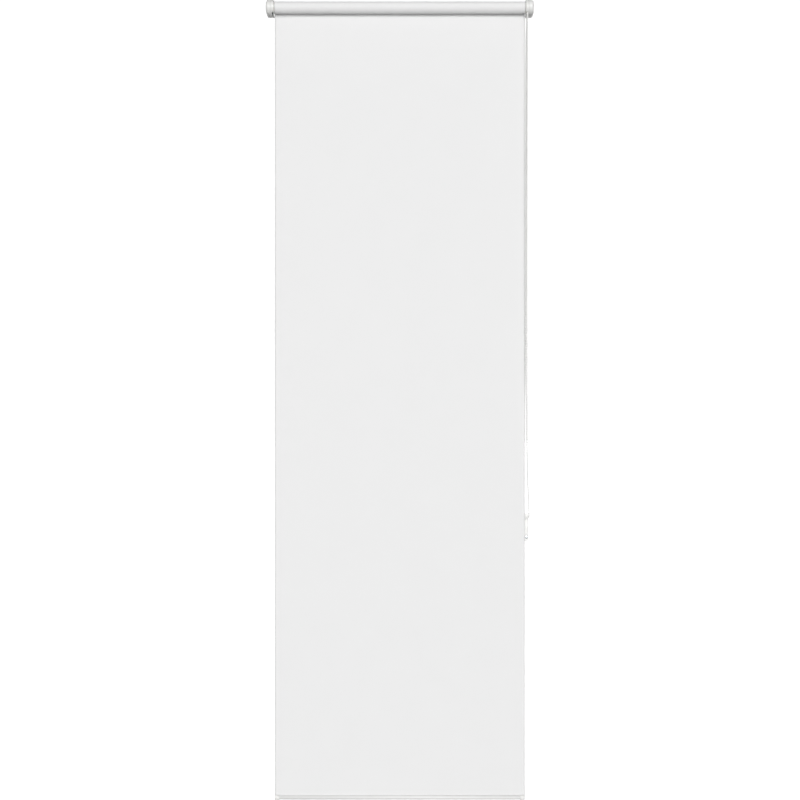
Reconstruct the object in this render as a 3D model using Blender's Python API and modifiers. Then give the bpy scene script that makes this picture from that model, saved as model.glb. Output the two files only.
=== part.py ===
"""Roller blind for a 600 mm wide window with an 1800 mm drop, worked by an endless bead chain.

Metres, +Z up. X runs along the blind, the room is at -Y and the wall is the plane Y = 0.
The origin is on the wall, midway between the brackets, at the height of the roller's axis.
"""

import math

import bmesh
import bpy

# ---------------------------------------------------------------- driving dimensions
GAP = 0.0003  # between two pieces that touch

WIDTH = 0.600  # over the two end covers
HEIGHT = 1.800  # top of the covers to the underside of the bottom bar
WALL_TO_AXIS = 0.028

COVER_RADIUS = 0.0165
COVER_WALL = 0.0014
COVER_LENGTH = 0.0108  # of the outer cap, along X
COVER_EDGE = 0.0042  # rounding of the cap's outer edge
HOUSING_SPARE = 0.0005  # of the housing's length, past the chain slot
HOUSING_RIM = 0.0008  # left standing on the roller side of the chain slot
HOUSING_LEDGE = 0.0024  # how far the ledge behind the rim reaches inwards
WEB = 0.002  # the housing's cross wall
WALL_CLEARANCE = 0.0004  # covers to the wall

PLATE = 0.0016  # bracket steel
PLATE_FROM_END = 0.0051  # bracket's outer face to the cover's outer face
PLATE_CLEARANCE = 0.0012  # bracket's rounded edge to the cover's inside
FLANGE_LENGTH = 0.0111
FLANGE_HOLE_SPACING = 0.017
SCREW_SHANK = 0.00175
SCREW_LENGTH = 0.018
SCREW_HEAD = 0.0034
SCREW_HEAD_HEIGHT = 0.0022
RECESS = 0.0008  # width of a screw's cross recess
RECESS_REACH = 0.55  # of the head's radius
RECESS_DEPTH = 0.55  # of the head's height
CROWN = 0.72  # flat top of a screw's head, of its radius
CORE_SCREW_HEAD_HEIGHT = 0.0018

HUB_FLANGE = 0.0105
HUB_FLANGE_LENGTH = 0.002
HUB_BOSS = 0.0068
HUB_SQUARE = 0.009
SPINDLE = 0.0045
RING_GROOVE = 0.0036
RING_RADIUS = 0.0066
RING_THICKNESS = 0.001
RING_MOUTH = 0.0058  # opening of the ring, pushed sideways into its groove
CORE_SCREW = 0.0013
CORE_SCREW_LENGTH = 0.010
WASHER_RADIUS = 0.0066
WASHER = 0.0008

TUBE_RADIUS = 0.0124
TUBE_WALL = 0.0010
WRAP_GAP = 0.0002  # tube to the cloth wound on it
WRAP_THICKNESS = 0.0004  # two safety turns of cloth left on the tube
FABRIC = 0.0002
FABRIC_CLEARANCE = 0.0009  # edge of the cloth to the housing
PLUG_LENGTH = 0.020
PLUG_RIB = 0.0007
PLUG_RIBS = 8
RIB_SHARE = 0.3  # of the plug's circumference
RIB_SLOPE = 2  # degrees taken by each flank of a rib
PLUG_FLANGE = 0.0008
DRIVE_SQUARE = 0.0115
DRIVE_DEPTH = 0.0045

BEAD = 0.00225
BEAD_PITCH = 0.006
CORD_RADIUS = 0.0007
SLOT_PLAY = 0.0005  # of the chain in its slot
POCKETS = 9
WHEEL_CHEEKS = 0.0007  # of the wheel's width, beside the balls
WHEEL_RIM = 0.0008  # how far the wheel stands out past the chain's pitch circle
POCKET_FLARE = 0.0013  # pockets open outwards, so that a ball can leave along the straight run

SPRING_WIRE = 0.0004
SPRING_TURNS = 5

PIN_RADIUS = 0.0025
PIN_COLLAR = 0.0055
PIN_COLLAR_LENGTH = 0.0016
PIN_REACH = 0.0007  # pin's end past the bracket's outer face
PIN_TAIL = 0.024  # pin behind its collar
CHAMBER_RADIUS = 0.0072
CHAMBER_WALL = 0.0028
PIN_SPRING_WIRE = 0.00035
PIN_SPRING_RADIUS = 0.0041
PIN_SPRING_TURNS = 5

BAR_HALF_DEPTH = 0.0033
BAR_HALF_HEIGHT = 0.0050
BAR_WALL = 0.0010
BAR_SLOT = 0.0010
BAR_CAP_LENGTH = 0.010
BAR_CAP_WALL = 0.0008
BAR_CAP_END = 0.0012
HEM_ROD = 0.0012

CLIP_DROP = 1.1437  # roller axis to the centre of the chain's turn round the saddle
CLIP_HALF_WIDTH = 0.0046
CLIP_PLATE = 0.0030
CLIP_TOP = 0.0066  # plate's top above the turn's centre
CLIP_BOTTOM = 0.0568  # plate's bottom below it
CLIP_SCREW_DROP = 0.0477
CLIP_SADDLE = 0.0035
CLIP_LIP = 0.0011
CLIP_RIB = 0.0012  # height of the stem's stiffening rib
CLIP_RIB_HALF_WIDTH = 0.0022
CLIP_WELL = 0.0016  # depth of the seat that the screw's head lies in

ROUND = 48  # sides of a large turned piece
SMALL_ROUND = 24
FLAT = math.radians(1)  # faces that turn less than this are one face

# ---------------------------------------------------------------- derived places
AXIS_Y = -WALL_TO_AXIS
HALF = WIDTH / 2
COVER_INNER = COVER_RADIUS - COVER_WALL
COVER_RIM_X = HALF - COVER_LENGTH
COVER_FACE_X = HALF - COVER_WALL
HOUSING_OUT_X = COVER_RIM_X - GAP
SLOT_WIDTH = 2 * BEAD + SLOT_PLAY
HOUSING_LENGTH = HOUSING_RIM + SLOT_WIDTH + HOUSING_SPARE
HOUSING_IN_X = HOUSING_OUT_X - HOUSING_LENGTH
PLATE_OUT_X = HALF - PLATE_FROM_END
PLATE_IN_X = PLATE_OUT_X - PLATE
HUB_OUT_X = PLATE_IN_X - GAP
HUB_IN_X = HUB_OUT_X - HUB_FLANGE_LENGTH
WEB_OUT_X = HUB_IN_X - GAP
WEB_IN_X = WEB_OUT_X - WEB
BRACKET_RADIUS = COVER_INNER - PLATE_CLEARANCE

PITCH_RADIUS = POCKETS * BEAD_PITCH / (2 * math.pi)
CHAIN_X = HOUSING_IN_X + HOUSING_RIM + SLOT_WIDTH / 2
WHEEL_WIDTH = 2 * BEAD + WHEEL_CHEEKS
WHEEL_IN_X = CHAIN_X - WHEEL_WIDTH / 2
WHEEL_OUT_X = CHAIN_X + WHEEL_WIDTH / 2

FABRIC_HALF = HOUSING_IN_X - FABRIC_CLEARANCE
TUBE_HALF = FABRIC_HALF - GAP
PLUG_FACE_X = TUBE_HALF + GAP
PLUG_OUT_X = PLUG_FACE_X + PLUG_FLANGE
PLUG_IN_X = TUBE_HALF - PLUG_LENGTH
DRIVE_FACE_X = PLUG_OUT_X - DRIVE_DEPTH  # bottom of the plug's square socket
PLUG_RADIUS = TUBE_RADIUS - TUBE_WALL - GAP
WRAP_INNER = TUBE_RADIUS + WRAP_GAP
ROLL_RADIUS = WRAP_INNER + WRAP_THICKNESS
FABRIC_Y = AXIS_Y + ROLL_RADIUS + GAP + FABRIC / 2
RING_X = PLUG_IN_X - GAP - RING_THICKNESS
SPINDLE_END_X = RING_X - RING_THICKNESS
DRUM_RADIUS = SPINDLE + GAP + 2 * SPRING_WIRE + GAP

BAR_BOTTOM_Z = COVER_RADIUS - HEIGHT
BAR_CAP_HALF_HEIGHT = BAR_HALF_HEIGHT + GAP + BAR_CAP_WALL
BAR_CAP_HALF_DEPTH = BAR_HALF_DEPTH + GAP + BAR_CAP_WALL
BAR_Z = BAR_BOTTOM_Z + BAR_CAP_HALF_HEIGHT
BAR_HALF = FABRIC_HALF - BAR_CAP_END - GAP
FABRIC_END_Z = BAR_Z + HEM_ROD + GAP

CLIP_X = CHAIN_X
CLIP_Z = -CLIP_DROP
CLIP_CHAIN_Y = -(CLIP_PLATE + GAP + BEAD)
CLIP_LIP_Y = CLIP_CHAIN_Y - BEAD - GAP

# The free chain, down the room side, round the saddle on the wall and up behind. Chosen by hand.
CHAIN_ROUTE = (
    (0.2859, -0.0366, -0.0080),
    (0.2859, -0.0366, -0.0300),
    (0.2857, -0.0364, -0.0900),
    (0.2853, -0.0355, -0.2200),
    (0.2850, -0.0341, -0.3800),
    (0.2848, -0.0322, -0.5400),
    (0.2848, -0.0298, -0.6900),
    (0.2850, -0.0266, -0.8200),
    (0.2855, -0.0230, -0.9200),
    (0.2866, -0.0185, -1.0000),
    (0.2883, -0.0136, -1.0600),
    (0.2905, -0.0088, -1.1050),
    (0.2916, -0.0063, -1.1300),
    (0.29185, -0.00555, -1.1437),
    (0.29105, -0.00555, -1.14675),
    (0.2890, -0.00555, -1.1488),
    (0.2859, -0.00555, -1.14965),
    (0.2828, -0.00555, -1.1488),
    (0.28075, -0.00555, -1.14675),
    (0.27995, -0.00555, -1.1437),
    (0.2800, -0.0056, -1.1250),
    (0.2801, -0.0058, -1.0800),
    (0.2804, -0.0060, -1.0000),
    (0.2812, -0.0062, -0.9000),
    (0.2830, -0.0066, -0.7900),
    (0.2842, -0.0082, -0.6600),
    (0.2843, -0.0112, -0.5000),
    (0.2843, -0.0143, -0.3400),
    (0.2843, -0.0173, -0.1900),
    (0.2846, -0.0188, -0.0900),
    (0.2859, -0.0194, -0.0300),
    (0.2859, -0.0194, -0.0080),
)
LONG_STEP = 0.035  # between points on a nearly straight stretch

# Turns that carry an outline's plane, and the piece's own +Z, to where the piece stands.
ACROSS = {
    "X": (math.pi / 2, 0, math.pi / 2),
    "Y": (math.pi / 2, 0, 0),
    "Z": (0, 0, 0),
}
TURNED = {"X": (0, math.pi / 2, 0), "Y": (-math.pi / 2, 0, 0), "Z": (0, 0, 0)}


# ---------------------------------------------------------------- scene and materials
def clear_scene():
    for obj in list(bpy.data.objects):
        bpy.data.objects.remove(obj)


def new_collection(name):
    collection = bpy.data.collections.new(name)
    bpy.context.scene.collection.children.link(collection)
    return collection


def new_material(name, colour, roughness, metallic=0.0):
    material = bpy.data.materials.new(name)
    material.use_nodes = True
    shader = material.node_tree.nodes["Principled BSDF"]
    shader.inputs["Base Color"].default_value = (*colour, 1)
    shader.inputs["Roughness"].default_value = roughness
    shader.inputs["Metallic"].default_value = metallic
    material.diffuse_color = (*colour, 1)
    return material


clear_scene()
PARTS = new_collection("roller_blind")
CUTTERS = new_collection("cutters")
WHITE_ABS = new_material("white_abs", (0.80, 0.80, 0.79), 0.42)
WHITE_NYLON = new_material("white_nylon", (0.72, 0.71, 0.67), 0.5)
WHITE_PAINT = new_material("white_painted_metal", (0.83, 0.83, 0.82), 0.38, 0.0)
ZINC_STEEL = new_material("zinc_plated_steel", (0.62, 0.62, 0.60), 0.35, 1.0)
SPRING_STEEL = new_material("spring_steel", (0.32, 0.32, 0.33), 0.3, 1.0)
ALUMINIUM = new_material("mill_aluminium", (0.72, 0.73, 0.74), 0.35, 1.0)
CLOTH = new_material("white_cloth", (0.85, 0.85, 0.85), 0.8)
CHAIN_PLASTIC = new_material("chain_plastic", (0.80, 0.80, 0.78), 0.4)


def name_piece(obj, name, material):
    """Names a finished object and gives it its material and its collection."""
    obj.name = name
    obj.data.name = name
    obj.data.materials.clear()
    obj.data.materials.append(material)
    PARTS.objects.link(obj)
    return obj


def as_cutter(obj, name="cutter"):
    obj.name = name
    obj.hide_render = True
    obj.display_type = "WIRE"
    CUTTERS.objects.link(obj)
    return obj


# ---------------------------------------------------------------- outlines
def arc(centre, radius, start, end, steps):
    """Points on a circle from one angle to another, in degrees."""
    angles = [math.radians(start + (end - start) * i / steps) for i in range(steps + 1)]
    return [(centre[0] + radius * math.cos(a), centre[1] + radius * math.sin(a)) for a in angles]


def circle(centre, radius, steps=ROUND):
    return arc(centre, radius, 0, 360, steps)[:-1]


def rectangle(low, high):
    return [(low[0], low[1]), (high[0], low[1]), (high[0], high[1]), (low[0], high[1])]


def square_about_axis(side):
    """A square of this side about the roller's axis, in (Y, Z)."""
    return rectangle((AXIS_Y - side / 2, -side / 2), (AXIS_Y + side / 2, side / 2))


def stadium(centre, half_width, half_height, steps=10):
    """An upright outline with round ends."""
    rise = half_height - half_width
    top = arc((centre[0], centre[1] + rise), half_width, 0, 180, steps)
    return top + arc((centre[0], centre[1] - rise), half_width, 180, 360, steps)


def bullet(radius, rear):
    """The covers' side view in (Y, Z): round towards the room, straight back to the wall."""
    return [(rear, radius)] + arc((AXIS_Y, 0), radius, 90, 270, 22) + [(rear, -radius)]


# ---------------------------------------------------------------- shapes
def mesh_from(curve_object):
    """Turns a curve into a mesh with its caps welded, and removes the curve."""
    bpy.context.scene.collection.objects.link(curve_object)
    bpy.context.view_layer.update()
    graph = bpy.context.evaluated_depsgraph_get()
    mesh = bpy.data.meshes.new_from_object(curve_object.evaluated_get(graph))
    shape = bmesh.new()
    shape.from_mesh(mesh)
    bmesh.ops.remove_doubles(shape, verts=shape.verts, dist=1e-6)
    bmesh.ops.recalc_face_normals(shape, faces=shape.faces)
    shape.to_mesh(mesh)
    shape.free()
    obj = bpy.data.objects.new("piece", mesh)
    obj.matrix_world = curve_object.matrix_world.copy()
    bpy.data.objects.remove(curve_object)
    return obj


def prism(outlines, low, high, axis):
    """A flat outline, with any holes in it, carried along an axis from low to high."""
    curve = bpy.data.curves.new("outline", "CURVE")
    curve.dimensions = "2D"
    curve.fill_mode = "BOTH"
    curve.extrude = abs(high - low) / 2
    for outline in outlines:
        spline = curve.splines.new("POLY")
        spline.points.add(len(outline) - 1)
        spline.use_cyclic_u = True
        for point, (u, v) in zip(spline.points, outline):
            point.co = (u, v, 0, 1)
    obj = bpy.data.objects.new("outline", curve)
    obj.rotation_euler = ACROSS[axis]
    obj.location["XYZ".index(axis)] = (low + high) / 2
    return mesh_from(obj)


def turned(profile, axis, place=(0, 0, 0), steps=ROUND):
    """A profile of (radius, position along the axis) turned into a closed round piece."""
    area = sum(a[0] * b[1] - b[0] * a[1] for a, b in zip(profile, profile[1:] + profile[:1]))
    ordered = profile if area < 0 else profile[::-1]
    mesh = bpy.data.meshes.new("profile")
    count = len(ordered)
    edges = [(i, (i + 1) % count) for i in range(count)]
    edges = [(a, b) for a, b in edges if ordered[a][0] > 0 or ordered[b][0] > 0]
    mesh.from_pydata([(r, 0, h) for r, h in ordered], edges, [])
    obj = bpy.data.objects.new("turned", mesh)
    screw = obj.modifiers.new("Screw", "SCREW")
    screw.steps = steps
    screw.render_steps = steps
    screw.use_merge_vertices = True
    screw.merge_threshold = 1e-6
    obj.rotation_euler = TURNED[axis]
    obj.location = place
    return obj


def ring(inner, outer, low, high):
    """The profile of a plain ring or tube."""
    return [(inner, high), (outer, high), (outer, low), (inner, low)]


def on_side(side, profile):
    """A profile given for the right end, for the end that side names."""
    return [(r, side * h) for r, h in profile]


def on_axis(profile, steps=ROUND):
    """Turned about the roller's axis."""
    return turned(profile, "X", (0, AXIS_Y, 0), steps)


def wire(points, radius, resolution=2):
    curve = bpy.data.curves.new("wire", "CURVE")
    curve.dimensions = "3D"
    curve.bevel_depth = radius
    curve.bevel_resolution = resolution
    curve.use_fill_caps = True
    spline = curve.splines.new("POLY")
    spline.points.add(len(points) - 1)
    for point, place in zip(spline.points, points):
        point.co = (*place, 1)
    return bpy.data.objects.new("wire", curve)


def helix(radius, start, end, turns, per_turn=11):
    """Points of a coil about the roller's axis, from one X to another."""
    count = turns * per_turn
    angles = [2 * math.pi * i / per_turn for i in range(count + 1)]
    return [
        (
            start + (end - start) * i / count,
            AXIS_Y + radius * math.cos(a),
            radius * math.sin(a),
        )
        for i, a in enumerate(angles)
    ]


def spheres(centres, radius):
    mesh = bpy.data.meshes.new("spheres")
    shape = bmesh.new()
    for centre in centres:
        made = bmesh.ops.create_uvsphere(shape, u_segments=12, v_segments=7, radius=radius)
        bmesh.ops.translate(shape, verts=made["verts"], vec=centre)
    shape.to_mesh(mesh)
    shape.free()
    return bpy.data.objects.new("spheres", mesh)


def change(obj, operation, tool):
    """Cuts, joins or keeps what two pieces share, with the tool kept as a hidden helper."""
    modifier = obj.modifiers.new(operation.title(), "BOOLEAN")
    modifier.operation = operation
    modifier.solver = "EXACT"
    modifier.object = as_cutter(tool)


def round_rim(obj, face, radius, segments, square_x=None):
    """Rounds the rim of a prism's end face, which lies at this height in the prism's own frame.

    Edges that lie wholly at square_x stay sharp."""
    shape = bmesh.new()
    shape.from_mesh(obj.data)
    bmesh.ops.dissolve_limit(shape, angle_limit=FLAT, verts=shape.verts, edges=shape.edges)
    rim = []
    for edge in shape.edges:
        on_face = all(abs(v.co.z - face) < GAP / 2 for v in edge.verts)
        turns = on_face and edge.calc_face_angle(0) > math.radians(60)
        square = square_x is not None and all(abs(v.co.x - square_x) < GAP / 2 for v in edge.verts)
        if turns and not square:
            rim.append(edge)
    bmesh.ops.bevel(
        shape, geom=rim, offset=radius, segments=segments, profile=0.5, affect="EDGES"
    )
    shape.to_mesh(obj.data)
    shape.free()


def smooth(obj, angle=35):
    obj.data.shade_smooth()
    obj.data.set_sharp_from_angle(angle=math.radians(angle))


def sorted_ends(side, near, far):
    return sorted((side * near, side * far))


# ---------------------------------------------------------------- chain
def through(points, step):
    """A smooth curve through the route's points, about a step apart and at least one a stretch."""
    found = []
    last = len(points) - 1
    for i in range(last):
        before, a = points[max(i - 1, 0)], points[i]
        b, after = points[i + 1], points[min(i + 2, last)]
        parts = max(1, round(math.dist(a, b) / step))
        for k in range(parts):
            t = k / parts
            found.append(
                tuple(
                    0.5
                    * (
                        2 * q
                        + (r - p) * t
                        + (2 * p - 5 * q + 4 * r - s) * t**2
                        + (3 * q - p - 3 * r + s) * t**3
                    )
                    for p, q, r, s in zip(before, a, b, after)
                )
            )
    return found + [points[last]]


def wheel_point(angle, radius=PITCH_RADIUS):
    """A point of the chain's pitch circle, with the angle in radians from the wall side upwards."""
    return (CHAIN_X, AXIS_Y + radius * math.cos(angle), radius * math.sin(angle))


def pocket_angles():
    """One pocket stands straight up, and the rest follow round the wheel."""
    return [math.pi / 2 + 2 * math.pi * i / POCKETS for i in range(POCKETS)]


def make_bead_chain_loop():
    chain = wire(through(CHAIN_ROUTE, LONG_STEP), BEAD)
    name_piece(chain, "bead_chain_loop", CHAIN_PLASTIC)


def make_chain_over_wheel():
    """The stretch inside the housing, where each ball lies in a pocket of the wheel."""
    tail = BEAD_PITCH + GAP
    lower = [(CHAIN_X, AXIS_Y + PITCH_RADIUS, -tail), (CHAIN_X, AXIS_Y - PITCH_RADIUS, -tail)]
    over = [wheel_point(math.radians(a)) for a in range(0, 181, 10)]
    chain = mesh_from(wire([lower[0]] + over + [lower[1]], CORD_RADIUS))
    seated = [wheel_point(a) for a in pocket_angles() if math.sin(a) > 0]
    quarter_beads = (math.pi / 2) % (2 * math.pi / POCKETS) * PITCH_RADIUS
    hang = BEAD_PITCH - quarter_beads
    hanging = [(CHAIN_X, AXIS_Y + side * PITCH_RADIUS, -hang) for side in (1, -1)]
    change(chain, "UNION", spheres(seated + hanging, BEAD))
    name_piece(chain, "chain_over_wheel", CHAIN_PLASTIC)


def make_chain_wheel():
    """A wheel with a groove for the cord, a pocket for each ball and a square drive boss."""
    rim = PITCH_RADIUS + WHEEL_RIM
    groove_bottom = PITCH_RADIUS - CORD_RADIUS - GAP
    groove = CORD_RADIUS + GAP
    bore = SPINDLE + GAP
    profile = [
        (bore, WHEEL_OUT_X),
        (rim, WHEEL_OUT_X),
        (rim, CHAIN_X + groove),
        (groove_bottom, CHAIN_X + groove),
        (groove_bottom, CHAIN_X - groove),
        (rim, CHAIN_X - groove),
        (rim, WHEEL_IN_X),
        (bore, WHEEL_IN_X),
    ]
    wheel = on_axis(profile)
    flared = (PITCH_RADIUS + POCKET_FLARE, BEAD + 2 * GAP)
    for radius, ball in ((PITCH_RADIUS, BEAD + GAP), flared):
        pockets = spheres([wheel_point(a, radius) for a in pocket_angles()], ball)
        change(wheel, "DIFFERENCE", pockets)
    hole = circle((AXIS_Y, 0), bore + GAP, SMALL_ROUND)
    boss = prism([square_about_axis(DRIVE_SQUARE), hole], DRIVE_FACE_X + GAP, WHEEL_IN_X + GAP, "X")
    change(wheel, "UNION", boss)
    name_piece(wheel, "chain_wheel", WHITE_NYLON)


# ---------------------------------------------------------------- ends
def make_end_cover(side, name):
    """The outer cap: a bullet-shaped cup, open to the wall and to the housing."""
    rear = -WALL_CLEARANCE
    low, high = sorted_ends(side, COVER_RIM_X, HALF)
    cap = prism([bullet(COVER_RADIUS, rear)], low, high, "X")
    round_rim(cap, side * (high - low) / 2, COVER_EDGE, 5, rear)
    low, high = sorted_ends(side, COVER_RIM_X - COVER_WALL, COVER_FACE_X)
    hollow = prism([bullet(COVER_INNER, COVER_WALL)], low, high, "X")
    round_rim(hollow, side * (high - low) / 2, COVER_EDGE - COVER_WALL, 5, COVER_WALL)
    change(cap, "DIFFERENCE", hollow)
    name_piece(cap, name, WHITE_ABS)


def make_housing(side, name):
    """The inner moulding: a horseshoe wall, a ledge, and a cross wall that sits on the hub's boss."""
    web_rear = -(PLATE + SCREW_HEAD_HEIGHT + WALL_CLEARANCE)
    ledge_x = HOUSING_OUT_X - WEB / 2
    mouth_x = HOUSING_IN_X - WEB

    def across(outline, near, far):
        return prism([outline], *sorted_ends(side, near, far), "X")

    wall = across(bullet(COVER_RADIUS, -WALL_CLEARANCE), HOUSING_IN_X, HOUSING_OUT_X)
    change(wall, "UNION", across(bullet(COVER_INNER - GAP, web_rear), ledge_x, WEB_OUT_X))
    change(wall, "DIFFERENCE", across(bullet(COVER_INNER, COVER_WALL), mouth_x, ledge_x))
    well = bullet(COVER_INNER - HOUSING_LEDGE, COVER_WALL)
    change(wall, "DIFFERENCE", across(well, mouth_x, WEB_IN_X))
    back = rectangle((web_rear, GAP - COVER_INNER), (COVER_WALL, COVER_INNER - GAP))
    change(wall, "DIFFERENCE", across(back, ledge_x - WEB, HALF))
    boss = circle((AXIS_Y, 0), HUB_BOSS + GAP, SMALL_ROUND)
    change(wall, "DIFFERENCE", across(boss, ledge_x, HALF))
    change(wall, "DIFFERENCE", chain_slot_cutter(side))
    name_piece(wall, name, WHITE_ABS)


def chain_slot_cutter(side):
    """A round-ended slot in the housing's underside, which both runs of the chain pass."""
    corner = SLOT_WIDTH / 2
    reach = PITCH_RADIUS + BEAD + 2 * GAP - corner
    front = arc((side * CHAIN_X, AXIS_Y - reach), corner, 180, 360, 8)
    back = arc((side * CHAIN_X, AXIS_Y + reach), corner, 0, 180, 8)
    return prism([front + back], -2 * COVER_RADIUS, -PITCH_RADIUS, "Z")


def bracket_blank(side):
    """An L of folded steel, rounded towards the room, with its two wall screw holes."""
    radius = PLATE
    corner = (PLATE_OUT_X - 2 * radius, -2 * radius)
    outer = arc(corner, 2 * radius, 0, 90, 6)
    inner = arc(corner, radius, 90, 0, 6)
    front = AXIS_Y - BRACKET_RADIUS
    flange_end = PLATE_OUT_X - FLANGE_LENGTH
    outline = [(PLATE_OUT_X, front)] + outer + [(flange_end, 0), (flange_end, -PLATE)]
    outline += inner + [(PLATE_IN_X, front)]
    blank = prism([[(side * x, y) for x, y in outline]], -BRACKET_RADIUS, BRACKET_RADIUS, "Z")
    shape = prism([bullet(BRACKET_RADIUS, PLATE)], *sorted_ends(side, HALF / 2, HALF), "X")
    change(blank, "INTERSECT", shape)
    for z in screw_heights():
        hole = circle((side * screw_x(), z), SCREW_SHANK + GAP, SMALL_ROUND)
        change(blank, "DIFFERENCE", prism([hole], -2 * PLATE, PLATE, "Y"))
    return blank


def screw_x():
    return PLATE_OUT_X - PLATE - FLANGE_LENGTH / 2


def screw_heights():
    return (FLANGE_HOLE_SPACING / 2, -FLANGE_HOLE_SPACING / 2)


def make_right_bracket():
    bracket = bracket_blank(1)
    square = square_about_axis(HUB_SQUARE + 2 * GAP)
    change(bracket, "DIFFERENCE", prism([square], PLATE_IN_X - PLATE, HALF, "X"))
    name_piece(bracket, "right_bracket", WHITE_PAINT)


def make_left_bracket():
    bracket = bracket_blank(-1)
    hole = circle((AXIS_Y, 0), HUB_SQUARE / 2 + GAP, SMALL_ROUND)
    change(bracket, "DIFFERENCE", prism([hole], -HALF, -PLATE_IN_X + PLATE, "X"))
    name_piece(bracket, "left_bracket", WHITE_PAINT)


def make_clutch_core():
    """The part that stands still: a spindle for the wheel and springs, keyed into the bracket."""
    bore = CORE_SCREW + GAP
    bore_end = PLATE_OUT_X - CORE_SCREW_LENGTH
    groove_low, groove_high = RING_X - GAP, RING_X + RING_THICKNESS + GAP
    profile = [
        (0, bore_end),
        (bore, bore_end),
        (bore, HUB_OUT_X),
        (HUB_FLANGE, HUB_OUT_X),
        (HUB_FLANGE, HUB_IN_X),
        (HUB_BOSS, HUB_IN_X),
        (HUB_BOSS, WHEEL_OUT_X + GAP),
        (SPINDLE, WHEEL_OUT_X + GAP),
        (SPINDLE, groove_high),
        (RING_GROOVE, groove_high),
        (RING_GROOVE, groove_low),
        (SPINDLE, groove_low),
        (SPINDLE, SPINDLE_END_X),
        (0, SPINDLE_END_X),
    ]
    core = on_axis(profile)
    key = prism(
        [square_about_axis(HUB_SQUARE), circle((AXIS_Y, 0), bore, SMALL_ROUND)],
        HUB_OUT_X - HUB_FLANGE_LENGTH / 2,
        PLATE_OUT_X + GAP,
        "X",
    )
    change(core, "UNION", key)
    name_piece(core, "clutch_core", WHITE_NYLON)


def make_core_fixings():
    washer_in = PLATE_OUT_X + 2 * GAP
    washer_out = washer_in + WASHER
    washer = on_axis(ring(CORE_SCREW + GAP, WASHER_RADIUS, washer_in, washer_out), SMALL_ROUND)
    name_piece(washer, "core_washer", ZINC_STEEL)
    head_in = washer_out + GAP
    place = (0, AXIS_Y, 0)
    screw = make_screw(
        "X", place, head_in, -1, CORE_SCREW, CORE_SCREW_HEAD_HEIGHT, CORE_SCREW_LENGTH
    )
    name_piece(screw, "core_screw", ZINC_STEEL)
    clip = on_axis(
        ring(RING_GROOVE + GAP, RING_RADIUS, RING_X, RING_X + RING_THICKNESS), SMALL_ROUND
    )
    mouth = rectangle(
        (AXIS_Y - RING_MOUTH / 2, -2 * RING_RADIUS), (AXIS_Y + RING_MOUTH / 2, 0)
    )
    cutter = prism([mouth], RING_X - RING_THICKNESS, RING_X + 2 * RING_THICKNESS, "X")
    change(clip, "DIFFERENCE", cutter)
    name_piece(clip, "retaining_clip", SPRING_STEEL)


def make_idle_hub():
    """The bush that the idle pin turns in, held by the left bracket."""
    bore = PIN_RADIUS + GAP
    profile = [
        (bore, PLATE_OUT_X + GAP),
        (HUB_SQUARE / 2, PLATE_OUT_X + GAP),
        (HUB_SQUARE / 2, HUB_OUT_X),
        (HUB_FLANGE, HUB_OUT_X),
        (HUB_FLANGE, HUB_IN_X),
        (HUB_BOSS, HUB_IN_X),
        (HUB_BOSS, WHEEL_OUT_X + GAP),
        (bore, WHEEL_OUT_X + GAP),
    ]
    name_piece(on_axis(on_side(-1, profile)), "idle_hub", WHITE_NYLON)


# ---------------------------------------------------------------- screws
def make_screw(axis, place, seat, towards, shank, head_height, length):
    """A pan-headed screw with a cross recess. Its head's underside is at seat on the axis."""
    crown = seat - towards * head_height
    shoulder = seat - towards * head_height / 3
    tip = seat + towards * length
    profile = [
        (0, crown),
        (SCREW_HEAD * CROWN, crown),
        (SCREW_HEAD, shoulder),
        (SCREW_HEAD, seat),
        (shank, seat),
        (shank, tip - towards * 2 * shank),
        (0, tip),
    ]
    screw = turned(profile, axis, place, SMALL_ROUND)
    depth = head_height * RECESS_DEPTH
    low, high = sorted((crown + towards * depth, crown - towards * depth))
    u, v = [place["XYZ".index(a)] for a in ("YZ" if axis == "X" else "XZ")]
    reach = SCREW_HEAD * RECESS_REACH
    for half_u, half_v in ((reach, RECESS / 2), (RECESS / 2, reach)):
        bar = rectangle((u - half_u, v - half_v), (u + half_u, v + half_v))
        change(screw, "DIFFERENCE", prism([bar], low, high, axis))
    return screw


def make_bracket_screws():
    for side, end in ((-1, "left"), (1, "right")):
        for z, level in zip(screw_heights(), ("upper", "lower")):
            place = (side * screw_x(), 0, z)
            seat = -PLATE - GAP
            screw = make_screw(
                "Y", place, seat, 1, SCREW_SHANK, SCREW_HEAD_HEIGHT, SCREW_LENGTH
            )
            name_piece(screw, f"{end}_bracket_screw_{level}", ZINC_STEEL)


# ---------------------------------------------------------------- roller
def ribbed_outline():
    """A circle with ribs that grip the inside of the tube."""
    points = []
    step = 360 / PLUG_RIBS
    valley = PLUG_RADIUS - PLUG_RIB
    for i in range(PLUG_RIBS):
        rib_end = (i + RIB_SHARE) * step
        points += arc((AXIS_Y, 0), PLUG_RADIUS, i * step, rib_end, 3)
        points += arc((AXIS_Y, 0), valley, rib_end + RIB_SLOPE, (i + 1) * step - RIB_SLOPE, 4)
    return points


def plug_blank(side):
    """The ribbed body and its flange, without the hollows."""
    ends = sorted_ends(side, PLUG_IN_X, PLUG_FACE_X + PLUG_FLANGE / 2)
    body = prism([ribbed_outline()], *ends, "X")
    flange = prism(
        [circle((AXIS_Y, 0), TUBE_RADIUS)], *sorted_ends(side, PLUG_FACE_X, PLUG_OUT_X), "X"
    )
    change(body, "UNION", flange)
    return body


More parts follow.
